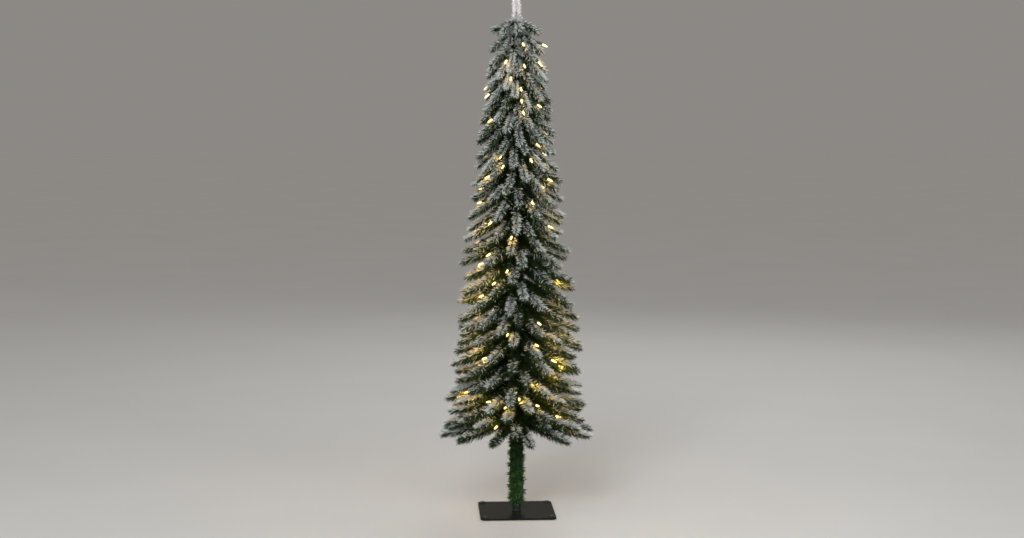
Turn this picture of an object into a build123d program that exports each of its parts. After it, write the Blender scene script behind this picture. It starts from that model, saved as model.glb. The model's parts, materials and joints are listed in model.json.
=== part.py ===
from build123d import *
import os
import random
from math import cos, hypot, pi, radians, sin

# A pre-lit, flocked alpine tree on a square steel plate, in millimetres.
# +Z is up, and the origin is on the floor, on the trunk's axis. The front of the tree faces -Y.
# The trunk stands on a spigot welded to the plate. It comes apart in two sections at the joint bush.
# Each tip is a twisted-wire brush of needles, drawn as the spindle that its needles fill.

# ---- driving dimensions -------------------------------------------------------------------------
TREE_HEIGHT = 1524.0

PLATE_SIDE = 220.0
PLATE_THICK = 4.0
PLATE_CORNER = 12.0
FOOT_INSET = 14.0
PAD_RADIUS = 10.0
PAD_THICK = 3.0
SCREW_RADIUS = 2.0
SCREW_HEAD_RADIUS = 4.2
WASHER_RADIUS = 9.0
WASHER_THICK = 2.8

SPIGOT_RADIUS = 9.0
SPIGOT_WALL = 2.0
SPIGOT_HEIGHT = 80.0
POLE_RADIUS = 12.5
POLE_WALL = 1.2
UPPER_POLE_RADIUS = 9.5
UPPER_POLE_WALL = 1.0
POLE_FIT = 0.1
FLANGE_THICK = 3.0

JOINT_Z = 790.0
JOINT_OVERLAP = 70.0
GARLAND_BOTTOM = 24.0
GARLAND_THICK = 5.5
BINDING_THICK = 1.9
BINDING_GAP = 0.1

RING_ONE_Z = 270.0
LOWER_RINGS = 14
LOWER_PITCH = 38.0
UPPER_RING_Z = 816.0
TOP_RING_Z = 1430.0
UPPER_RINGS = 20
UPPER_TIGHTENING = 0.16
RING_ONE_TURN = 0.267  # in spaces between tips, from +X
RINGS_PER_TIER = 2
FOLIAGE_LOW_Z = 256.0
REACH_LOW = 224.0
REACH_SLOPE = 0.128
TIP_FAT_LOW = 12.5
TIP_FAT_HIGH = 8.2
LEADER_FAT = 9.0

LAMPS = 100
LAMP_SHARE = 0.368  # lamps to a tip, before the extra ones at the bottom
HOLDER_RADIUS = 3.8
HOLDER_LENGTH = 17.0
BULB_RADIUS = 2.7
BULB_LENGTH = 17.5
BULB_NECK = 8.0
LEAD_RADIUS = 1.2

# ---- levels and radii that follow from them -----------------------------------------------------
PLATE_TOP = PAD_THICK + PLATE_THICK
POLE_FOOT = PLATE_TOP + FLANGE_THICK
POLE_BORE = POLE_RADIUS - POLE_WALL
UPPER_POLE_FOOT = JOINT_Z - JOINT_OVERLAP
TRUNK_TOP = TOP_RING_Z + 10.0
GARLAND_TOP = RING_ONE_Z - 23.0
LOWER_BINDING_RADIUS = POLE_RADIUS + BINDING_GAP + BINDING_THICK
UPPER_BINDING_RADIUS = UPPER_POLE_RADIUS + BINDING_GAP + BINDING_THICK
TIP_ROOT_BITE = 2.1  # how far a bound tip's wire goes into the binding
HINGE_BALL = 2.2  # the rounded root of a tip that is bent by hand

dice = random.Random(23)
nodes = {}


# ---- shapes -------------------------------------------------------------------------------------
def turned(profile):
    """A solid of revolution about Z from (radius, height) points."""
    outline = Polyline([(r, 0, z) for r, z in profile], close=True)
    return revolve(make_face(outline), axis=Axis.Z).solid()


def rod(radius, low, high):
    return turned([(0, low), (radius, low), (radius, high), (0, high)])


def tube(outer, inner, low, high):
    return turned([(inner, low), (outer, low), (outer, high), (inner, high)])


def along(shape, start, direction, across=None):
    """The shape, drawn up Z from its origin, moved to start and turned to point along direction."""
    plane = Plane(origin=start, x_dir=across, z_dir=direction)
    return plane.location * shape


def four_corners(shape):
    reach = PLATE_SIDE / 2 - FOOT_INSET
    return [Pos(x, y, 0) * shape for x in (-reach, reach) for y in (-reach, reach)]


def add(name, *solids):
    nodes.setdefault(name, []).extend(solids)


# ---- base ---------------------------------------------------------------------------------------
def make_base():
    plate = Pos(0, 0, PAD_THICK + PLATE_THICK / 2) * Box(PLATE_SIDE, PLATE_SIDE, PLATE_THICK)
    plate = fillet(plate.edges().filter_by(Axis.Z), PLATE_CORNER)
    plate = fillet(plate.faces().sort_by(Axis.Z)[-1].edges(), 0.8)
    for hole in four_corners(rod(SCREW_RADIUS + 0.3, 0, PLATE_TOP + 1)):
        plate -= hole
    add("base_plate", plate.solid())

    shank_foot = PAD_THICK - 2.0
    pad = turned([(0, 0), (PAD_RADIUS - 1, 0), (PAD_RADIUS, 1), (PAD_RADIUS, PAD_THICK), (0, PAD_THICK)])
    pad -= rod(SCREW_RADIUS + 0.1, shank_foot - 0.2, PAD_THICK + 1)
    add("foot_pads", *four_corners(pad.solid()))

    washer_top = PLATE_TOP + WASHER_THICK
    washer = turned([
        (SCREW_RADIUS + 0.2, PLATE_TOP),
        (WASHER_RADIUS, PLATE_TOP),
        (WASHER_RADIUS - 0.6, washer_top),
        (SCREW_RADIUS + 0.2, washer_top),
    ])
    add("foot_washers", *four_corners(washer))

    head = SCREW_HEAD_RADIUS
    screw = turned([
        (0, shank_foot),
        (SCREW_RADIUS, shank_foot),
        (SCREW_RADIUS, washer_top),
        (head, washer_top),
        (head, washer_top + 0.9),
        (head * 0.75, washer_top + 1.8),
        (0, washer_top + 2.3),
    ])
    slot = Pos(0, 0, washer_top + 2.1) * Box(head * 2.2, 0.9, 1.6)
    add("foot_screws", *four_corners((screw - slot).solid()))

    add("base_spigot", tube(SPIGOT_RADIUS, SPIGOT_RADIUS - SPIGOT_WALL, PLATE_TOP, PLATE_TOP + SPIGOT_HEIGHT))


# ---- trunk --------------------------------------------------------------------------------------
def make_trunk():
    bore = SPIGOT_RADIUS + 2 * POLE_FIT
    sleeve = POLE_BORE - POLE_FIT
    add("foot_bush", turned([
        (bore, PLATE_TOP),
        (POLE_RADIUS + 1, PLATE_TOP),
        (POLE_RADIUS + 1, POLE_FOOT),
        (sleeve, POLE_FOOT),
        (sleeve, POLE_FOOT + 45),
        (bore, POLE_FOOT + 45),
    ]))
    add("lower_pole", tube(POLE_RADIUS, POLE_BORE, POLE_FOOT, JOINT_Z))
    garland_bore = POLE_RADIUS + BINDING_GAP
    add("trunk_garland", tube(garland_bore + GARLAND_THICK, garland_bore, GARLAND_BOTTOM, GARLAND_TOP))
    add("lower_binding", tube(LOWER_BINDING_RADIUS, garland_bore, GARLAND_TOP + 4, JOINT_Z - 6))

    seat = UPPER_POLE_RADIUS + POLE_FIT
    bush_foot = UPPER_POLE_FOOT - 5
    bush_top = JOINT_Z + FLANGE_THICK
    add("joint_bush", turned([
        (UPPER_POLE_RADIUS - 2, bush_foot),
        (POLE_BORE - 0.05, bush_foot),
        (POLE_BORE - 0.05, JOINT_Z),
        (POLE_RADIUS, JOINT_Z),
        (POLE_RADIUS, bush_top),
        (seat, bush_top),
        (seat, UPPER_POLE_FOOT),
        (UPPER_POLE_RADIUS - 2, UPPER_POLE_FOOT),
    ]))
    upper_bore = UPPER_POLE_RADIUS - UPPER_POLE_WALL
    add("upper_pole", tube(UPPER_POLE_RADIUS, upper_bore, UPPER_POLE_FOOT, TRUNK_TOP))
    add("upper_binding", tube(UPPER_BINDING_RADIUS, UPPER_POLE_RADIUS + BINDING_GAP, bush_top + 7, TRUNK_TOP - 4))
    add("pole_cap", turned([
        (0, TRUNK_TOP - 8),
        (upper_bore - 0.1, TRUNK_TOP - 8),
        (upper_bore - 0.1, TRUNK_TOP),
        (UPPER_POLE_RADIUS, TRUNK_TOP),
        (UPPER_POLE_RADIUS - 0.8, TRUNK_TOP + 2.5),
        (0, TRUNK_TOP + 2.5),
    ]))


# ---- tips ---------------------------------------------------------------------------------------
class Tip:
    """One brush of needles: its root, direction, length and the spindle that it fills."""

    def __init__(self, ring, azimuth, root_radius, z, droop, length, fat, bite):
        out = (cos(azimuth), sin(azimuth))
        self.ring = ring
        self.azimuth = azimuth
        self.droop = droop
        self.length = length
        self.fat = fat
        self.bite = bite
        self.root = Vector(root_radius * out[0], root_radius * out[1], z)
        self.way = Vector(out[0] * cos(droop), out[1] * cos(droop), -sin(droop))
        self.up = Vector(out[0] * sin(droop), out[1] * sin(droop), cos(droop))
        self.side = self.way.cross(self.up)

    def profile(self):
        full, long = self.fat, self.length
        if self.bite:
            start = [(0, -self.bite), (1.2, -self.bite), (3.0, 1.0)]
        else:
            start = [(0, -HINGE_BALL), (HINGE_BALL * 0.7, -HINGE_BALL * 0.7), (HINGE_BALL, 0)]
        return start + [(full, 0.22 * long), (0.92 * full, 0.74 * long), (2.5, long), (0, long)]

    def radius_at(self, s):
        """The spindle's radius at s along its axis, or 0 past its ends."""
        points = self.profile()[1:-1]
        for (r0, s0), (r1, s1) in zip(points, points[1:]):
            if s0 <= s <= s1:
                return r0 + (r1 - r0) * (s - s0) / (s1 - s0)
        return 0.0

    def solid(self):
        return along(turned(self.profile()), self.root, self.way)

    def clearance(self, point):
        """How far a point lies outside the spindle, measured square to its axis."""
        offset = point - self.root
        s = offset.dot(self.way)
        square = (offset - self.way * s).length
        if s < -self.bite - 3 or s > self.length + 3:
            return hypot(square, min(abs(s), abs(s - self.length)))
        return square - self.radius_at(min(max(s, 0.0), self.length))


def droop_at(z):
    """Tips leave the trunk nearly level at the bottom, steeply down near the top, and spread at the very top."""
    share = (z - RING_ONE_Z) / (TOP_RING_Z - RING_ONE_Z)
    lift = max(0.0, (share - 0.97) / 0.03)
    return radians(8.0 + 40.0 * share**0.7 - 24.0 * lift)


def full_length(z, root_radius, droop):
    """The length that takes a tip's end to the cone round the whole tree."""
    cone = REACH_LOW - root_radius - REACH_SLOPE * (z - FOLIAGE_LOW_Z)
    return cone / (cos(droop) - REACH_SLOPE * sin(droop))


def ring_height(ring):
    """The lower rings are evenly spaced, and the upper ones draw together toward the top."""
    if ring <= LOWER_RINGS:
        return RING_ONE_Z + LOWER_PITCH * (ring - 1)
    share = (ring - LOWER_RINGS - 1) / (UPPER_RINGS - 1)
    return UPPER_RING_Z + (TOP_RING_Z - UPPER_RING_Z) * share * (1 + UPPER_TIGHTENING * (1 - share))


def tips_in_ring(ring):
    for last, count in ((2, 12), (5, 10), (LOWER_RINGS, 9), (LOWER_RINGS + 13, 8), (LOWER_RINGS + UPPER_RINGS - 1, 7)):
        if ring <= last:
            return count
    return 8


def ring_of_tips(ring):
    lower = ring <= LOWER_RINGS
    z = ring_height(ring)
    binding = LOWER_BINDING_RADIUS if lower else UPPER_BINDING_RADIUS
    by_hand = ring == 1
    count = tips_in_ring(ring)
    droop = droop_at(z)
    fat = TIP_FAT_LOW - (TIP_FAT_LOW - TIP_FAT_HIGH) * (z - RING_ONE_Z) / (TRUNK_TOP - RING_ONE_Z)
    stagger = {1: RING_ONE_TURN, 2: RING_ONE_TURN - 0.5}.get(ring, 0.58 * (ring - 1))
    made = []
    for i in range(count):
        wander, dip, cut, rise = (dice.uniform(-1, 1) for _ in range(4))
        if by_hand:
            wander = dip = rise = 0.0
            cut = 1.0
        azimuth = 2 * pi * (i + stagger + 0.11 * wander) / count
        tilt = droop + radians(4.0) * dip
        length = full_length(z, binding, tilt) * (1 - 0.08 * (1 - cut))
        root = binding + (HINGE_BALL + 0.5 if by_hand else 1.0 * sin(tilt) + 0.4)
        height = z + 1.5 * dip + 2.5 * rise
        made.append(Tip(ring, azimuth, root, height, tilt, length, fat, 0 if by_hand else TIP_ROOT_BITE))
    return made


def make_tips():
    rings = [ring_of_tips(ring) for ring in range(1, LOWER_RINGS + UPPER_RINGS + 1)]
    for number, tip in enumerate(rings[0], 1):
        add(f"bottom_tip_{number}", tip.solid())
    tier = 0
    for section in (rings[1:LOWER_RINGS], rings[LOWER_RINGS:]):
        for place, tips in enumerate(section):
            if place % RINGS_PER_TIER == 0:
                tier += 1
            add(f"tip_tier_{tier:02d}", *[tip.solid() for tip in tips])
    leader_foot = TRUNK_TOP + 2.5 + HINGE_BALL + 0.4
    length = TREE_HEIGHT - leader_foot
    start = [(0, -HINGE_BALL), (HINGE_BALL * 0.7, -HINGE_BALL * 0.7), (HINGE_BALL, 0)]
    spindle = turned(start + [(LEADER_FAT, 0.3 * length), (0.9 * LEADER_FAT, 0.7 * length), (2, length), (0, length)])
    add("leader_tip", Pos(0, 0, leader_foot) * spindle)
    return rings


# ---- string lights ------------------------------------------------------------------------------
def holder_shape():
    """A lamp holder pointing up Z: its lead enters at 0 and its bulb stands in the blind bore."""
    mouth = HOLDER_LENGTH
    return turned([
        (0, 0),
        (HOLDER_RADIUS - 1.2, 0),
        (HOLDER_RADIUS - 0.4, 4),
        (HOLDER_RADIUS, 5),
        (HOLDER_RADIUS, mouth - 2),
        (HOLDER_RADIUS - 0.3, mouth),
        (BULB_RADIUS, mouth),
        (BULB_RADIUS, mouth - BULB_NECK - 1),
        (0, mouth - BULB_NECK - 1),
    ])


def bulb_shape():
    """A glass bulb, open at its neck, with its shoulder at the holder's mouth."""
    mouth, wall, neck = HOLDER_LENGTH, 0.5, BULB_RADIUS - 0.25
    return turned([
        (neck, mouth - BULB_NECK),
        (neck, mouth + 0.5),
        (BULB_RADIUS, mouth + 2.5),
        (BULB_RADIUS, mouth + 0.62 * BULB_LENGTH),
        (0.6 * BULB_RADIUS, mouth + 0.86 * BULB_LENGTH),
        (0, mouth + BULB_LENGTH),
        (0, mouth + BULB_LENGTH - 2 * wall),
        (0.6 * BULB_RADIUS - wall, mouth + 0.84 * BULB_LENGTH),
        (BULB_RADIUS - wall, mouth + 0.6 * BULB_LENGTH),
        (BULB_RADIUS - wall, mouth + 2.7),
        (neck - wall, mouth + 0.7),
        (neck - wall, mouth - BULB_NECK),
    ])


def filament_shape():
    """The stem inside a bulb, with two support wires and the filament across them."""
    mouth = HOLDER_LENGTH
    shape = rod(1.1, mouth - BULB_NECK + 0.5, mouth + 3)
    for x in (-0.75, 0.75):
        shape += Pos(x, 0, mouth + 5) * Box(0.3, 0.3, 5)
    shape += Pos(0, 0, mouth + 7.5) * Box(2.2, 0.5, 0.5)
    return shape.solid()


def clear_of(points, tips, room):
    return all(tip.clearance(p) > room for p in points for tip in tips)


def stations(start, end, count):
    return [start + (end - start) * (i / count) for i in range(count + 1)]


def lamp_place(tip, near, lamps):
    """Where a lamp fits beside a tip: (start of its lead, its foot, its direction), or None."""
    under = tip.ring == 2 and dice.random() < 0.4
    first = dice.uniform(0.38, 0.6 if tip.ring <= LOWER_RINGS + 10 else 0.78)
    rolls = [0, 35, -35, 60, -60, 85, -85]
    dice.shuffle(rolls)
    for share in (first, first + 0.1, first - 0.06, first + 0.18):
        for roll in rolls:
            turn = radians(roll + (180 if under else 0))
            off = tip.up * cos(turn) + tip.side * sin(turn)
            lean = radians(13)
            foot = tip.root + tip.way * (share * tip.length) + off * (tip.fat + HOLDER_RADIUS + 0.6)
            way = tip.way * cos(lean) + off * sin(lean)
            lead_start = tip.root + off * (0.72 * tip.fat + 2.8) + tip.way * (2.0 + 6.0 * sin(tip.droop))
            lead = stations(lead_start, foot, 16)
            lamp = stations(foot, foot + way * (HOLDER_LENGTH + BULB_LENGTH), 8)
            clear = clear_of(lead, near, LEAD_RADIUS + 0.4) and clear_of(lamp, near, HOLDER_RADIUS + 0.4)
            apart = all((a - b).length > 2 * HOLDER_RADIUS + 1.5 for other in lamps for a in other for b in lamp)
            if clear and apart:
                return lead_start, foot, way, lamp
    return None


def make_lights(rings):
    holder, bulb, filament = holder_shape(), bulb_shape(), filament_shape()
    placed = []
    due = 0.0
    for ring in range(2, len(rings) + 1):
        part = "lower" if ring <= LOWER_RINGS else "upper"
        near = [tip for tips in rings[max(0, ring - 4):ring + 4] for tip in tips]
        for tip in rings[ring - 1]:
            due += LAMP_SHARE * (1.8 if ring <= 3 else 1.0) * dice.uniform(0.2, 1.8)
            if due < 1 or len(placed) == LAMPS:
                continue
            place = lamp_place(tip, near, placed[-40:])
            if place is None:
                continue
            due -= 1
            lead_start, foot, way, lamp = place
            placed.append(lamp)
            add(f"{part}_lamp_holders", along(holder, foot, way))
            add(f"{part}_bulbs", along(bulb, foot, way))
            add(f"{part}_filaments", along(filament, foot, way))
            run = foot - lead_start
            lead = along(rod(LEAD_RADIUS, 0, run.length + 1.0), lead_start, run)
            add(f"{part}_lamp_leads", lead)
    return len(placed)


def make_connectors(tips_below):
    """The plug and socket that join the two sections' strings, on the trunk's back between two tips."""
    behind = min(tips_below, key=lambda tip: abs(tip.azimuth - pi / 2)).azimuth
    turn = Rot(0, 0, behind * 180 / pi - 90 + 180 / len(tips_below))
    wide, deep, tall = 14.0, 9.0, 13.0
    y = LOWER_BINDING_RADIUS + 1.0 + deep / 2
    low = JOINT_Z - 20.0
    blade, blade_x = (0.8, 5.0, 10.0), 3.6
    socket = Pos(0, y, low + tall / 2) * Box(wide, deep, tall)
    socket = fillet(socket.edges().filter_by(Axis.Z), 2)
    plug_low = low + tall + 0.3
    plug = Pos(0, y, plug_low + tall / 2) * Box(wide, deep, tall)
    plug = fillet(plug.edges().filter_by(Axis.Z), 2)
    for x in (-blade_x, blade_x):
        socket -= Pos(x, y, low + tall - 5.5) * Box(blade[0] + 0.5, blade[1] + 0.5, 12.0)
        plug += Pos(x, y, plug_low - blade[2] / 2 + 0.5) * Box(blade[0], blade[1], blade[2] + 1)
    add("string_socket", turn * socket.solid())
    add("string_plug", turn * plug.solid())
    ends = (
        ("lower", Vector(0, y, low), Vector(0, LOWER_BINDING_RADIUS + 1.8, low - 6)),
        ("upper", Vector(0, y, plug_low + tall), Vector(0, UPPER_BINDING_RADIUS + 1.8, plug_low + tall + 6)),
    )
    for part, start, end in ends:
        run = end - start
        add(f"{part}_lamp_leads", turn * along(rod(LEAD_RADIUS, 1.2, run.length), start, run))


make_base()
make_trunk()
all_rings = make_tips()
lamp_count = make_lights(all_rings)
make_connectors(all_rings[LOWER_RINGS - 1])

os.makedirs("parts", exist_ok=True)
for name, solids in nodes.items():
    export_step(Compound(children=solids), f"parts/{name}.step")
print(len(nodes), "nodes,", sum(len(tips) for tips in all_rings), "tips,", lamp_count, "lamps")
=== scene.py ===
import json
from math import cos, hypot, pi, radians, sin

import bpy
import numpy as np
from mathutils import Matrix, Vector


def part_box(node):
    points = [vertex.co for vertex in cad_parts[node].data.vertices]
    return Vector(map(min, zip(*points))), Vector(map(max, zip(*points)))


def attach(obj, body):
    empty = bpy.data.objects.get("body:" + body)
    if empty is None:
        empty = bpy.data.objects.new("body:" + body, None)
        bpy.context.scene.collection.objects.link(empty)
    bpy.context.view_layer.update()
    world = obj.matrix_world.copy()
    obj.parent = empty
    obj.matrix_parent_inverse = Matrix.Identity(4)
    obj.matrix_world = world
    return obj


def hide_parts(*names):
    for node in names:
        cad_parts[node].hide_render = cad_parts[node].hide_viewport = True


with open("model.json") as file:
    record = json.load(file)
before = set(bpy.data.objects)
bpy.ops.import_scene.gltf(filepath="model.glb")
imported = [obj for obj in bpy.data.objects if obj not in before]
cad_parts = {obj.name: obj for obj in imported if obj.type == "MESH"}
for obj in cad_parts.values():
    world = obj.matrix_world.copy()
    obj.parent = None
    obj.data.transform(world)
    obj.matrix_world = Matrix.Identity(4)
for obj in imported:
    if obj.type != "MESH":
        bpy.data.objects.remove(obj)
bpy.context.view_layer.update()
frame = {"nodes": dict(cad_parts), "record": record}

# A flocked, pre-lit alpine tree. The CAD gives each tip, lamp and lead as a plain solid; here each tip
# becomes a brush of needles on its twisted wire, and each lead becomes a twisted pair. Metres throughout.
# "height" is a tip's place up the foliage, from 0 at the bottom to 1 at the trunk's top, and "share" is a
# place along a tip, from 0 at its root to 1 at its end.

rng = np.random.default_rng(11)
nodes = frame["nodes"]
body_of_node = {n: body for body, group in frame["record"]["behaviour"]["bodies"].items() for n in group}
UP = np.array([0.0, 0.0, 1.0])
TRUNK_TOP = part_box("upper_pole")[1].z
FOLIAGE_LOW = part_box("bottom_tip_1")[0].z
JOINT_Z = round(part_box("lower_pole")[1].z, 4)

# ---- sizes of needles, flock and wires ----------------------------------------------------------
NEEDLES_PER_METRE = 6800
GOLDEN_TURN = 2.39996  # from one needle to the next, round the wire
NEEDLE_LONG = 0.0262  # at the bottom of the foliage
NEEDLE_SHORTENING = 0.0080  # from there to the top
NEEDLE_ON_LEADER = 0.0185
NEEDLE_WIDTHS = (0.0008, 0.0014)
NEEDLE_LIFT = radians(46)  # between a needle and its wire
JOINT_REACH = 0.06  # the tips this near the trunk's joint have longer needles, to close the gap there
WIRE_RADIUS = 0.0011
BARE_END = 0.013  # how much of a tip its last needles cover, past the end of its wire
WIRE_POINTS = 9
END_TUFT = 0.003  # the needles this near the wire's end stand out at any angle
SWAY = 0.0035  # how far a tip's end may stray sideways or down
LOW_CURL = 0.024  # how strongly the lower tips curl up towards their ends
CLUMP_SHARE = 0.62  # of the needles that caught flock, those with a thick clump
CLUMP_RADII = (0.0005, 0.0010)
FROST_ALONG = (0.2, 0.2, 0.8, 0.8, 1.05)  # at the two foot points, the two knee points and the point
BARE_TIP = "bottom_tip_9"  # hangs at the front left with hardly any flock
BARE_FLOCK = 0.12
FLOCK_LEVELS = (0.3, 1.15)  # every other tip, but not the leader, has its own level between these

SLEEVE_SIDES = 24
SLEEVE_ROW = 0.0028  # between the rows of points round a wound sleeve
FUZZ_SINK = 0.001  # how far the needles' feet lie under the skin that they stand on
FUZZ_WIDTHS = (0.0011, 0.0018)
SNOW_LINE = 1.05  # the needles on the trunk catch flock from this level up

STRAND_RADIUS = 0.00062  # each of the two wires in a lead
STRAND_LAY = 0.010  # one turn of the pair
STRAND_STEP = 0.0018  # between the points along a strand
LEAD_BOW = 0.0008  # how far a lead may bend from straight
GLOW_POWER = 0.122  # watts, of a lamp's own light low on the tree
GLOW_FADING = 0.105  # how much weaker it is at the top, where there is more flock to show it
GLOW_FADES = (0.5, 1.1)  # the levels between which it gets weaker
GLOW_RADIUS = 0.0035

# ---- colours: dark and light of each ------------------------------------------------------------
FIR_GREENS = ((0.005, 0.014, 0.003), (0.038, 0.078, 0.021))
FIR_FLOCK = ((0.51, 0.545, 0.53), (0.86, 0.895, 0.87))
LEADER_FLOCK = ((0.86, 0.80, 0.82), (0.99, 0.95, 0.96))
PLAIN_GREENS = ((0.003, 0.010, 0.003), (0.078, 0.175, 0.050))
PLAIN_FLOCK = ((0.5, 0.5, 0.49), (0.85, 0.85, 0.84))
# the needles round the trunk inside the tree: darker than the tips' needles and flock, a painted shade of
# the tree's core
SHADED_CORE_GREENS = ((0.002, 0.005, 0.0015), (0.012, 0.028, 0.007))
SHADED_CORE_FLOCK = ((0.47, 0.505, 0.50), (0.82, 0.855, 0.84))
STRING_GREENS = ((0.008, 0.026, 0.009), (0.020, 0.055, 0.020))
SLATE = ((0.009, 0.010, 0.009), (0.016, 0.018, 0.015))
POLE_GREENS = ((0.010, 0.014, 0.010), (0.022, 0.028, 0.020))
RUBBER_BLACKS = ((0.006, 0.006, 0.006), (0.014, 0.014, 0.013))
BUSH_GREENS = ((0.010, 0.016, 0.010), (0.022, 0.032, 0.020))
STEEL_GREYS = ((0.10, 0.10, 0.095), (0.24, 0.24, 0.23))
FLOOR_GREYS = ((0.60, 0.588, 0.571), (0.66, 0.648, 0.631))

# ---- single colours -----------------------------------------------------------------------------
AMBER = (1.0, 0.58, 0.14)
GOLD = (1.0, 0.78, 0.34)
PALE_GOLD = (1.0, 0.90, 0.56)
GLOW = (1.0, 0.54, 0.04)
DAYLIGHT = (0.96, 1.0, 1.03)
WHITE = (1, 1, 1)
BLACK = (0, 0, 0)


# ---- reading the CAD ----------------------------------------------------------------------------
WELD = 1e-6  # points that round to the same step are one point
END_DEPTH = 3e-4  # how far from a solid's end the points of its end face may lie


def islands(node):
    """The separate solids of a node, each as an array of its points."""
    mesh = nodes[node].data
    points = np.empty(3 * len(mesh.vertices))
    mesh.vertices.foreach_get("co", points)
    keys = np.round(points.reshape(-1, 3) / WELD).astype(np.int64)
    welded, where = np.unique(keys, axis=0, return_inverse=True)
    edges = np.empty(2 * len(mesh.edges), np.int64)
    mesh.edges.foreach_get("vertices", edges)
    edges = where.ravel()[edges].reshape(-1, 2)
    label = np.arange(len(welded))
    while True:
        low = np.minimum(label[edges[:, 0]], label[edges[:, 1]])
        lower = label.copy()
        np.minimum.at(lower, edges[:, 0], low)
        np.minimum.at(lower, edges[:, 1], low)
        lower = lower[lower]
        if (lower == label).all():
            return [welded[label == k] * WELD for k in np.unique(label)]
        label = lower


def axis_of(points):
    """The two ends of a turned solid's axis, the one nearer the trunk first."""
    middle = points.mean(0)
    way = np.linalg.svd(points - middle, full_matrices=False)[2][0]
    along = (points - middle) @ way
    ends = [
        points[along < along.min() + END_DEPTH].mean(0),
        points[along > along.max() - END_DEPTH].mean(0),
    ]
    return sorted(ends, key=lambda p: (round(hypot(p[0], p[1]), 3), p[2]))


def unit(v):
    return v / np.linalg.norm(v, axis=-1, keepdims=True)


def smooth(x, low, high):
    """0 up to low, 1 from high, and an even curve between them."""
    t = np.clip((x - low) / (high - low), 0, 1)
    return t * t * (3 - 2 * t)


# ---- meshes -------------------------------------------------------------------------------------
class Heap:
    """Triangles gathered into one mesh, with named values at their points."""

    def __init__(self):
        self.points = []
        self.triangles = []
        self.values = {}
        self.count = 0

    def add(self, points, triangles, **values):
        """points is (n, k, 3), and the same triangles join the k points of each of the n items."""
        n, k = points.shape[:2]
        base = self.count + np.arange(n)[:, None, None] * k
        self.triangles.append((np.asarray(triangles)[None] + base).reshape(-1, 3))
        self.points.append(points.reshape(-1, 3))
        for name, value in values.items():
            self.values.setdefault(name, []).append(np.broadcast_to(value, (n, k)).ravel())
        self.count += n * k

    def piece(self, name, material, body, replaced):
        """One object of all the triangles, which rides on a body and replaces a CAD node."""
        points = np.concatenate(self.points).astype(np.float32)
        triangles = np.concatenate(self.triangles).astype(np.int32)
        mesh = bpy.data.meshes.new(name)
        mesh.vertices.add(len(points))
        mesh.vertices.foreach_set("co", points.ravel())
        mesh.loops.add(triangles.size)
        mesh.loops.foreach_set("vertex_index", triangles.ravel())
        mesh.polygons.add(len(triangles))
        mesh.polygons.foreach_set("loop_start", np.arange(0, triangles.size, 3, dtype=np.int32))
        for key, value in self.values.items():
            layer = mesh.attributes.new(key, "FLOAT", "POINT")
            layer.data.foreach_set("value", np.concatenate(value).astype(np.float32))
        mesh.update(calc_edges=True)
        mesh.validate()
        mesh.materials.append(material)
        obj = bpy.data.objects.new(name, mesh)
        bpy.context.scene.collection.objects.link(obj)
        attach(obj, body)
        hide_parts(replaced)


def crosswise(way):
    """Two unit vectors square to each other and to each direction, turned by chance."""
    seed = rng.normal(size=way.shape)
    one = unit(np.cross(way, seed))
    return one, np.cross(way, one)


def add_blades(heap, start, way, length, width, bend, **values):
    """Flat pointed needles of three triangles, bent a little past the middle."""
    across, _ = crosswise(way)
    half = across * (width / 2)[:, None]
    knee = start + way * (0.6 * length)[:, None] + bend * (0.5 * length)[:, None]
    point = start + way * length[:, None] + bend * length[:, None]
    points = np.stack([start - half * 0.8, start + half * 0.8, knee - half, knee + half, point], 1)
    heap.add(points, [(0, 1, 3), (0, 3, 2), (2, 3, 4)], **values)


def add_clumps(heap, start, way, length, thick, **values):
    """Needles thick with flock: three-sided, widest past the middle and closing to a point."""
    one, two = crosswise(way)
    rings = []
    for share, size in ((0.0, 0.45), (0.62, 1.0)):
        centre = start + way * (share * length)[:, None]
        for k in range(3):
            turn = 2 * pi * k / 3
            rings.append(centre + (one * cos(turn) + two * sin(turn)) * (size * thick)[:, None])
    rings.append(start + way * length[:, None])
    sides = [(0, 1, 4), (0, 4, 3), (1, 2, 5), (1, 5, 4), (2, 0, 3), (2, 3, 5)]
    end = [(3, 4, 6), (4, 5, 6), (5, 3, 6)]
    heap.add(np.stack(rings, 1), sides + end, **values)


def tube_faces(rows, sides):
    """The triangles between rows of points that go round a tube."""
    faces = []
    for i in range(rows - 1):
        for j in range(sides):
            a = i * sides + j
            b = i * sides + (j + 1) % sides
            faces += [(a, b, b + sides), (a, b + sides, a + sides)]
    return faces


def add_wire(heap, line, radius, sides=5, **values):
    """A round wire along a line of points."""
    way = unit(np.gradient(line, axis=0))
    level = np.where(abs(way[:, 2:]) > 0.9, [[1.0, 0, 0]], [[0, 0, 1.0]])
    one = unit(np.cross(way, level))
    two = np.cross(way, one)
    turn = (np.arange(sides) * 2 * pi / sides)[None, :, None]
    rings = line[:, None] + radius * (one[:, None] * np.cos(turn) + two[:, None] * np.sin(turn))
    heap.add(rings.reshape(1, -1, 3), tube_faces(len(line), sides), **values)


# ---- one tip ------------------------------------------------------------------------------------
def needle_reach(share, height, z):
    """The usual needle's length: shorter at a tip's two ends, and longer by the trunk's joint."""
    by_root = 0.72 + 0.28 * smooth(share, 0.0, 0.15)
    by_end = 1 - 0.30 * smooth(share, 0.75, 1.0)
    by_joint = max(0.0, 1 - abs(z - JOINT_Z) / JOINT_REACH)
    reach = (NEEDLE_LONG - NEEDLE_SHORTENING * height) * by_root * by_end
    return reach * (1 + by_joint * (0.22 + 0.5 * (1 - smooth(share, 0.35, 0.6))))


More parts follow.
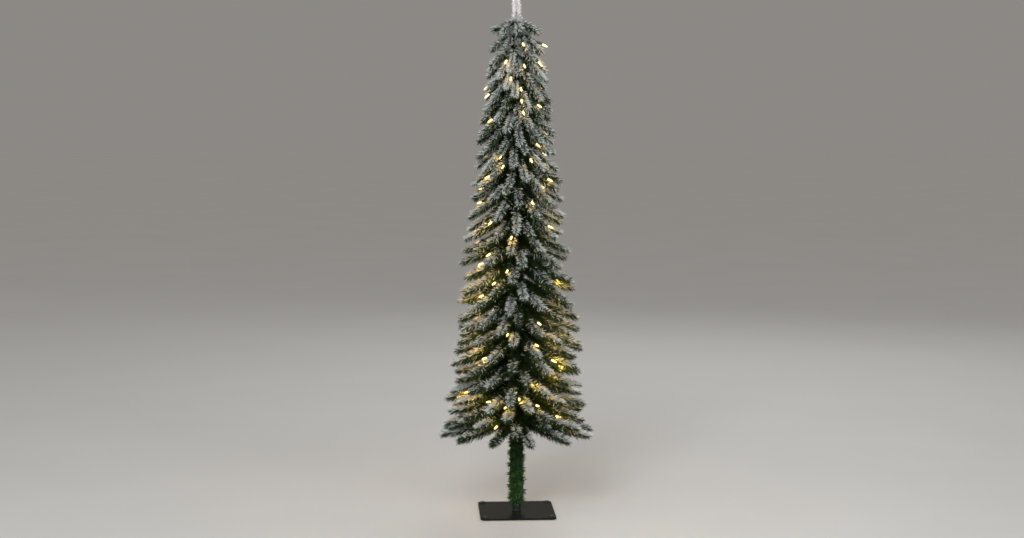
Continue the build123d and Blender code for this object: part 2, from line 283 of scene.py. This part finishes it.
def flock_cover(share, turn, height, flock_level):
    """The chance that a needle caught flock: more on a tip's upper side, its outer part and high up."""
    first = 0.43 - 0.33 * height
    under = 0.05 + 0.33 * height**2
    outer = 0.02 + 0.98 * smooth(share, first, first + 0.30)
    cover = outer * (under + (1 - under) * smooth(np.cos(turn), -0.35, 0.40))
    by_height = 0.88 - 0.24 * smooth(height, 0.08, 0.25) + 0.30 * smooth(height, 0.78, 1.0)
    return cover * flock_level * by_height


def add_flock(heap, start, needle, bend, length, tone_and_shade, cover, caught):
    """Thick clumps on the outer part of most of the needles that caught flock."""
    count = len(start)
    furry = caught & (rng.uniform(size=count) < CLUMP_SHARE)
    place = rng.uniform(0.25, 0.62, count)
    begin = start + (needle + bend * 0.5) * (place * length)[:, None]
    rest = np.minimum(1.04 - place, rng.uniform(0.3, 0.7, count)) * length
    clump = unit(needle + bend + rng.normal(0, 0.06, (count, 3)))
    thick = rng.uniform(*CLUMP_RADII, count)
    frost = np.clip(0.72 + 0.4 * cover[furry], 0, 1)[:, None]
    shade = tone_and_shade[furry][:, None]
    add_clumps(heap, begin[furry], clump[furry], rest[furry], thick[furry], frost=frost, shade=shade)


def add_tip(heap, root, end, flock_level=1.0, looseness=1.0, upright=False):
    """A twisted wire with needles swept forward round it, and flock on its top and outer part."""
    run = end - root
    span = np.linalg.norm(run)
    way = run / span
    up = np.array([0.0, -1.0, 0.0]) if upright else unit(UP - way * way[2])
    side = np.cross(way, up)
    height = (root[2] - FOLIAGE_LOW) / (TRUNK_TOP - FOLIAGE_LOW)
    swing = rng.uniform(-1, 1) * SWAY * looseness
    sag = rng.uniform(-0.3, 1) * SWAY * looseness
    if looseness >= 1 and not upright:
        sag = sag - LOW_CURL * smooth(height, 0.0, 0.12) * (1 - smooth(height, 0.55, 0.85))

    def centre(s):
        t = (s / span)[..., None]
        return root + way * s[..., None] + side * swing * t**2 - up * sag * (t**2 - 0.6 * t)

    wire_end = span - BARE_END
    line = centre(np.linspace(-0.001, wire_end, WIRE_POINTS))
    add_wire(heap, line, WIRE_RADIUS, sides=4, frost=0.0, shade=0.1)

    count = int(span * NEEDLES_PER_METRE)
    s = np.sort(rng.uniform(0.0015, wire_end + 0.001, count))
    share = s / span
    turn = np.arange(count) * GOLDEN_TURN + rng.normal(0, 0.5, count)
    radial = np.cos(turn)[:, None] * up + np.sin(turn)[:, None] * side
    lift = NEEDLE_LIFT - radians(10) * smooth(share, 0.7, 1.0) + rng.normal(0, radians(9), count)
    lift = np.where(s > wire_end - END_TUFT, rng.uniform(0, radians(60), count), lift)
    if upright:
        reach = NEEDLE_ON_LEADER * (1 - 0.25 * smooth(share, 0.5, 1.0)) * np.ones(count)
        lift = lift + radians(28) * (1 - smooth(share, 0.02, 0.22))
        cover = np.ones(count)
    else:
        reach = needle_reach(share, height, root[2])
        cover = flock_cover(share, turn, height, flock_level)
    length = reach * rng.uniform(0.78, 1.08, count)
    needle = unit(way * np.cos(lift)[:, None] + radial * np.sin(lift)[:, None])
    start = centre(s)
    bend = way * rng.uniform(0.0, 0.16, count)[:, None] - UP * rng.uniform(0.0, 0.05, count)[:, None]
    # random tone per needle, with painted shade darkening the needles towards the tip's root
    tone_and_shade = np.clip(rng.normal(0.5, 0.2, count) - 0.5 * (1 - share), 0, 1)
    width = rng.uniform(*NEEDLE_WIDTHS, count)
    caught = rng.uniform(size=count) < cover
    dusted = np.where(caught, 0.95, 0.34 * cover + 0.08 * height)
    frost = dusted[:, None] * np.array([FROST_ALONG])
    add_blades(heap, start, needle, length, width, bend, frost=frost, shade=tone_and_shade[:, None])
    add_flock(heap, start, needle, bend, length, tone_and_shade, cover, caught)


# ---- materials ----------------------------------------------------------------------------------
def shader(name):
    mat = bpy.data.materials.new(name)
    mat.use_nodes = True
    tree = mat.node_tree
    return mat, tree, tree.nodes["Principled BSDF"]


def node(tree, kind, **settings):
    """A new shader node. A setting with a capital letter is one of its inputs."""
    made = tree.nodes.new(kind)
    for key, value in settings.items():
        if key[0].isupper():
            made.inputs[key].default_value = value
        else:
            setattr(made, key, value)
    return made


def noise_of(tree, scale, detail):
    place = node(tree, "ShaderNodeTexCoord")
    made = node(tree, "ShaderNodeTexNoise", Scale=scale, Detail=detail, Roughness=0.6)
    tree.links.new(place.outputs["Object"], made.inputs["Vector"])
    return made.outputs["Fac"]


def ramp(tree, source, *stops):
    made = node(tree, "ShaderNodeValToRGB")
    spots = made.color_ramp.elements
    while len(spots) < len(stops):
        spots.new(0.5)
    for spot, (at, colour) in zip(spots, stops):
        spot.position = at
        spot.color = (*colour, 1)
    tree.links.new(source, made.inputs["Fac"])
    return made.outputs["Color"]


def maths(tree, operation, a, b):
    made = node(tree, "ShaderNodeMath", operation=operation)
    for socket, value in zip(made.inputs, (a, b)):
        if isinstance(value, (int, float)):
            socket.default_value = value
        else:
            tree.links.new(value, socket)
    return made.outputs[0]


def mix(tree, factor, a, b):
    made = node(tree, "ShaderNodeMix", data_type="RGBA")
    tree.links.new(factor, made.inputs["Factor"])
    for socket, value in ((made.inputs["A"], a), (made.inputs["B"], b)):
        if isinstance(value, tuple):
            socket.default_value = (*value, 1)
        else:
            tree.links.new(value, socket)
    return made.outputs["Result"]


def bump(tree, bsdf, relief, distance, strength):
    made = node(tree, "ShaderNodeBump", Strength=strength, Distance=distance)
    tree.links.new(relief, made.inputs["Height"])
    tree.links.new(made.outputs["Normal"], bsdf.inputs["Normal"])


def needle_material(name, greens, flock):
    """PVC needles in two greens, with flock where the frost value beats a fine noise."""
    mat, tree, bsdf = shader(name)
    frost = node(tree, "ShaderNodeAttribute", attribute_name="frost").outputs["Fac"]
    shade = node(tree, "ShaderNodeAttribute", attribute_name="shade").outputs["Fac"]
    blotch = noise_of(tree, 90, 2)
    grain = noise_of(tree, 900, 2)
    tone_and_shade = maths(tree, "ADD", maths(tree, "MULTIPLY", shade, 0.8), maths(tree, "MULTIPLY", blotch, 0.3))
    patchy = maths(tree, "ADD", maths(tree, "MULTIPLY", grain, 0.5), maths(tree, "MULTIPLY", blotch, 0.28))
    edge = maths(tree, "MULTIPLY", maths(tree, "SUBTRACT", frost, patchy), 3.0)
    mask = ramp(tree, maths(tree, "ADD", edge, 0.5), (0.0, BLACK), (1.0, WHITE))
    green = mix(tree, tone_and_shade, *greens)
    snow = mix(tree, grain, *flock)
    tree.links.new(mix(tree, mask, green, snow), bsdf.inputs["Base Color"])
    bsdf.inputs["Roughness"].default_value = 0.72
    bsdf.inputs["Specular IOR Level"].default_value = 0.12
    bump(tree, bsdf, grain, 0.0006, 0.5)
    return mat


def painted(name, colours, rough, scale=60, peel=0.00004):
    """Semi-gloss paint with a soft mottle, fine dust and an orange peel."""
    mat, tree, bsdf = shader(name)
    mottle = noise_of(tree, scale, 4)
    dust = noise_of(tree, scale * 14, 2)
    dusty = tuple(min(1, 2.4 * c + 0.02) for c in colours[1])
    speck = ramp(tree, dust, (0.68, BLACK), (0.8, (0.35, 0.35, 0.35)))
    tree.links.new(mix(tree, speck, mix(tree, mottle, *colours), dusty), bsdf.inputs["Base Color"])
    sheen = ramp(tree, mottle, (0.3, (rough[0],) * 3), (0.7, (rough[1],) * 3))
    tree.links.new(sheen, bsdf.inputs["Roughness"])
    bump(tree, bsdf, noise_of(tree, 900, 2), peel, 0.6)
    return mat


def moulded(name, colours, rough):
    """Moulded plastic or rubber with a fine grain."""
    return painted(name, colours, rough, scale=120, peel=0.00008)


def brushed_metal(name, colours):
    mat, tree, bsdf = shader(name)
    streak = noise_of(tree, 700, 3)
    tree.links.new(mix(tree, streak, *colours), bsdf.inputs["Base Color"])
    tree.links.new(ramp(tree, streak, (0.3, (0.3,) * 3), (0.7, (0.5,) * 3)), bsdf.inputs["Roughness"])
    bsdf.inputs["Metallic"].default_value = 1.0
    return mat


def lit_glass(name):
    """A lit bulb, nearly white in places and amber in others."""
    mat, tree, bsdf = shader(name)
    tint = ramp(tree, noise_of(tree, 240, 2), (0.32, AMBER), (0.5, GOLD), (0.66, PALE_GOLD))
    tree.links.new(tint, bsdf.inputs["Base Color"])
    tree.links.new(tint, bsdf.inputs["Emission Color"])
    bsdf.inputs["Emission Strength"].default_value = 1.9
    bsdf.inputs["Roughness"].default_value = 0.08
    mat.cycles.emission_sampling = "NONE"
    return mat


def floor_material():
    mat, tree, bsdf = shader("pale_floor")
    tree.links.new(mix(tree, noise_of(tree, 1.5, 3), *FLOOR_GREYS), bsdf.inputs["Base Color"])
    bsdf.inputs["Roughness"].default_value = 0.55
    return mat


# ---- tips, garland and bindings -----------------------------------------------------------------
def make_tips():
    fir = needle_material("flocked_fir", FIR_GREENS, FIR_FLOCK)
    for name in sorted(nodes):
        if not name.startswith(("tip_tier", "bottom_tip")):
            continue
        heap = Heap()
        looseness = 0.6 if name.startswith("bottom") else 1.0
        for points in islands(name):
            root, end = axis_of(points)
            flock_level = rng.uniform(*FLOCK_LEVELS)
            if name == BARE_TIP:
                flock_level = BARE_FLOCK
            add_tip(heap, root, end, flock_level, looseness)
        heap.piece(name.replace("tip", "brush", 1), fir, body_of_node[name], name)
    heap = Heap()
    root, end = axis_of(islands("leader_tip")[0])
    add_tip(heap, root, end, upright=True)
    white_fir = needle_material("leader_fir", FIR_GREENS, LEADER_FLOCK)
    heap.piece("leader_brush", white_fir, "leader", "leader_tip")


def add_sleeve(heap, radius, low, high, pitch, ridge, **values):
    """A wound sleeve round the trunk, its surface stepped in a helix."""
    rows = int((high - low) / SLEEVE_ROW)
    z = np.linspace(low, high, rows)[:, None]
    turn = np.arange(SLEEVE_SIDES)[None] * 2 * pi / SLEEVE_SIDES
    wave = np.mod(z / pitch + turn / (2 * pi), 1.0)
    r = radius + ridge * (wave - 0.5) + rng.normal(0, ridge * 0.12, (rows, SLEEVE_SIDES))
    points = np.stack([r * np.cos(turn), r * np.sin(turn), z + 0 * turn], -1)
    heap.add(points.reshape(1, -1, 3), tube_faces(rows, SLEEVE_SIDES), **values)


def add_fuzz(heap, radius, low, high, count, long, width, pitch, lump, sweep, tones, snow=0.0, painted_top_shade=0.0):
    """Needles standing out round the trunk, longer where the garland winds.

    pitch and lump are the spacing of those longer needles and how much they differ, sweep leans the
    needles up or down, snow is the flock on the highest ones, and the last argument darkens them upwards,
    a painted shade.
    """
    z = rng.uniform(low, high, count)
    turn = rng.uniform(0, 2 * pi, count)
    wave = 0.5 + 0.5 * np.cos(2 * pi * (z / pitch) - turn)
    out = np.stack([np.cos(turn), np.sin(turn), np.zeros(count)], 1)
    around = np.stack([-np.sin(turn), np.cos(turn), np.zeros(count)], 1)
    outward = out * rng.uniform(0.45, 1.0, count)[:, None]
    sideways = around * rng.normal(0.25, 0.55, count)[:, None]
    way = unit(outward + sideways + UP * rng.normal(sweep, 0.5, count)[:, None])
    start = out * (radius - FUZZ_SINK) + UP * z[:, None]
    length = long * rng.uniform(0.6, 1.1, count) * (1 - lump + lump * wave)
    room_below = (low - 0.004 - z) / np.minimum(way[:, 2], -1e-6)
    length = np.where(way[:, 2] < 0, np.minimum(length, np.maximum(room_below, 0.003)), length)
    dull, bright = tones
    tone_and_shade = np.clip(dull + (bright - dull) * rng.uniform(size=count) ** 2 + 0.2 * (wave - 0.5), 0, 1)
    # painted shade: the needles darken upwards, where the foliage above shades the trunk
    tone_and_shade = tone_and_shade * (1 - painted_top_shade * smooth(z, low, high))
    frost = snow * smooth(z, SNOW_LINE, TRUNK_TOP) * rng.uniform(0.4, 1.1, count)
    width = rng.uniform(*FUZZ_WIDTHS, count) * width
    straight = np.zeros((count, 3))
    add_blades(heap, start, way, length, width, straight, frost=frost[:, None], shade=tone_and_shade[:, None])


def make_garland():
    low, high = (corner.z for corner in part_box("trunk_garland"))
    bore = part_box("lower_pole")[1].x + 0.0003
    skin = bore + 0.001
    heap = Heap()
    add_sleeve(heap, bore + 0.0012, low + 0.001, high, pitch=0.016, ridge=0.0008, frost=0.0, shade=0.05)
    # both layers of needles darken upwards, a painted shade under the foliage
    add_fuzz(
        heap, skin, low + 0.004, high, count=4200, long=0.0120, width=1.0,
        pitch=0.021, lump=0.4, sweep=0.1, tones=(0.0, 0.8), painted_top_shade=0.75,
    )
    add_fuzz(
        heap, skin, low + 0.002, high, count=2800, long=0.0235, width=1.3,
        pitch=0.033, lump=0.6, sweep=-0.35, tones=(0.1, 1.3), painted_top_shade=0.75,
    )
    plain = needle_material("plain_fir", PLAIN_GREENS, PLAIN_FLOCK)
    heap.piece("garland_needles", plain, "lower_section", "trunk_garland")


def make_bindings():
    shaded_core = needle_material("shaded_core_fir", SHADED_CORE_GREENS, SHADED_CORE_FLOCK)
    for part in ("lower", "upper"):
        name = f"{part}_binding"
        low, high = (corner.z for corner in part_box(name))
        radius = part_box(name)[1].x
        heap = Heap()
        # the sleeve's and the needles' tones kept low: more painted shade of the tree's core
        add_sleeve(heap, radius - 0.0009, low, high, pitch=0.012, ridge=0.0007, frost=0.0, shade=0.0)
        add_fuzz(
            heap, radius - 0.001, low, high, count=int((high - low) * 6400), long=0.024, width=1.0,
            pitch=0.02, lump=0.3, sweep=-0.35, tones=(0.0, 0.45), snow=0.9,
        )
        if part == "upper":
            add_top_tufts(heap, radius, high)
        heap.piece(f"{part}_wrap", shaded_core, f"{part}_section", name)


def add_top_tufts(heap, radius, high):
    """Snowy needles round the pole's top and in the waist under the top ring of tips."""
    add_fuzz(
        heap, radius - 0.003, high - 0.012, high + 0.004, count=700, long=0.016, width=1.1,
        pitch=0.02, lump=0.2, sweep=0.9, tones=(0.2, 0.6), snow=1.2,
    )
    add_fuzz(
        heap, radius - 0.001, high - 0.10, high - 0.01, count=1500, long=0.040, width=1.1,
        pitch=0.02, lump=0.2, sweep=-0.6, tones=(0.4, 1.2), snow=1.4,
    )


# ---- string lights ------------------------------------------------------------------------------
def make_leads(material):
    """Each lead as a pair of wires twisted together, with a slight bow."""
    for part in ("lower", "upper"):
        heap = Heap()
        for points in islands(f"{part}_lamp_leads"):
            start, end = axis_of(points)
            span = np.linalg.norm(end - start)
            way = (end - start) / span
            one, two = (v[0] for v in crosswise(way[None]))
            s = np.linspace(0, span, max(6, int(span / STRAND_STEP)))
            turn = 2 * pi * s / STRAND_LAY + rng.uniform(0, 6)
            bow = one * (LEAD_BOW * np.sin(pi * s / span) * rng.uniform(-1, 1))[:, None]
            line = start + way * s[:, None] + bow
            for half in (0, pi):
                ring = np.cos(turn + half)[:, None] * one + np.sin(turn + half)[:, None] * two
                add_wire(heap, line + STRAND_RADIUS * ring, STRAND_RADIUS)
        lead_node = f"{part}_lamp_leads"
        heap.piece(f"{part}_twisted_leads", material, f"{part}_section", lead_node)


def add_lamp_light(name, place, body):
    """A lamp's own light on the needles round it."""
    lamp = bpy.data.lights.new(name, "POINT")
    lamp.energy = GLOW_POWER - GLOW_FADING * float(smooth(place[2], *GLOW_FADES))
    lamp.color = GLOW
    lamp.shadow_soft_size = GLOW_RADIUS
    obj = bpy.data.objects.new(name, lamp)
    obj.location = place
    bpy.context.scene.collection.objects.link(obj)
    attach(obj, body)


def make_lights():
    for part in ("lower", "upper"):
        for i, points in enumerate(islands(f"{part}_bulbs")):
            foot, point = axis_of(points)
            add_lamp_light(f"{part}_glow_{i + 1}", foot * 0.3 + point * 0.7, f"{part}_section")


# ---- the CAD pieces that stay -------------------------------------------------------------------
def dress(material, *names):
    for name in names:
        mesh = nodes[name].data
        mesh.materials.clear()
        mesh.materials.append(material)


def dress_lamps(string):
    dress(string, "lower_lamp_holders", "upper_lamp_holders", "string_plug", "string_socket")
    dress(lit_glass("lit_bulb"), "lower_bulbs", "upper_bulbs")
    dress(lit_glass("lit_filament"), "lower_filaments", "upper_filaments")
    for name in ("lower_bulbs", "upper_bulbs", "lower_filaments", "upper_filaments"):
        nodes[name].visible_diffuse = False
        nodes[name].visible_shadow = False


def dress_frame():
    slate = painted("slate_paint", SLATE, rough=(0.16, 0.27))
    slate.node_tree.nodes["Principled BSDF"].inputs["Specular IOR Level"].default_value = 0.022
    dress(slate, "base_plate", "base_spigot")
    dress(painted("pole_paint", POLE_GREENS, rough=(0.22, 0.36)), "lower_pole", "upper_pole")
    dress(moulded("black_rubber", RUBBER_BLACKS, rough=(0.6, 0.8)), "foot_pads", "foot_washers")
    dress(moulded("dark_bush", BUSH_GREENS, rough=(0.4, 0.6)), "foot_bush", "joint_bush", "pole_cap")
    dress(brushed_metal("screw_steel", STEEL_GREYS), "foot_screws")


# ---- stage --------------------------------------------------------------------------------------
def make_floor():
    """A wide round floor under the tree."""
    radius = 40
    sides = 64
    turns = np.linspace(0, 2 * pi, sides, endpoint=False)
    mesh = bpy.data.meshes.new("floor")
    mesh.from_pydata([(radius * cos(a), radius * sin(a), 0.0) for a in turns], [], [tuple(range(sides))])
    mesh.materials.append(floor_material())
    obj = bpy.data.objects.new("floor", mesh)
    bpy.context.scene.collection.objects.link(obj)


def aim(obj, way):
    """Point a light or camera along a direction, and put it in the scene."""
    obj.rotation_euler = Vector(way).to_track_quat("-Z", "Y").to_euler()
    bpy.context.scene.collection.objects.link(obj)


def area_light(name, place, target_z, size, power, colour=WHITE):
    """A square soft light, aimed at a height on the trunk."""
    lamp = bpy.data.lights.new(name, "AREA")
    lamp.shape = "SQUARE"
    lamp.size = size
    lamp.energy = power
    lamp.color = colour
    obj = bpy.data.objects.new(name, lamp)
    obj.location = place
    aim(obj, Vector((0, 0, target_z)) - Vector(place))


def sun_light(name, place, power, spread):
    """Parallel light that comes from the direction of a place."""
    lamp = bpy.data.lights.new(name, "SUN")
    lamp.energy = power
    lamp.angle = spread
    aim(bpy.data.objects.new(name, lamp), -Vector(place))


def make_studio():
    make_floor()
    area_light("key", (-1.3, -4.2, 3.0), 0.8, size=1.8, power=158, colour=DAYLIGHT)
    area_light("fill", (2.6, -3.6, 1.9), 0.8, size=2.4, power=45)
    area_light("back", (1.2, 3.2, 3.2), 0.9, size=2.4, power=40)
    sun_light("overhead", (-0.4, -1.2, 1.5), power=0.62, spread=radians(60))
    world = bpy.data.worlds.new("studio")
    world.use_nodes = True
    sky = world.node_tree.nodes["Background"]
    sky.inputs["Color"].default_value = (0.262, 0.2505, 0.235, 1)
    sky.inputs["Strength"].default_value = 1.0
    bpy.context.scene.world = world
    bpy.context.scene.view_settings.view_transform = "Standard"


def make_camera():
    """Level with the upper part of the tree, a little to its left, and looking slightly down."""
    distance = 5.03
    level = 1.19
    left = radians(3.4)
    down = radians(5.34)
    yaw = left - radians(0.15)
    data = bpy.data.cameras.new("camera")
    data.lens = 61.0
    data.sensor_width = 36.0
    data.clip_end = 200
    camera = bpy.data.objects.new("camera", data)
    camera.location = (-distance * sin(left), -distance * cos(left), level)
    camera.rotation_euler = (pi / 2 - down, 0, -yaw)
    bpy.context.scene.collection.objects.link(camera)
    bpy.context.scene.camera = camera


make_tips()
make_garland()
make_bindings()
string_plastic = moulded("string_green", STRING_GREENS, rough=(0.38, 0.55))
make_leads(string_plastic)
make_lights()
dress_lamps(string_plastic)
dress_frame()
make_studio()
make_camera()
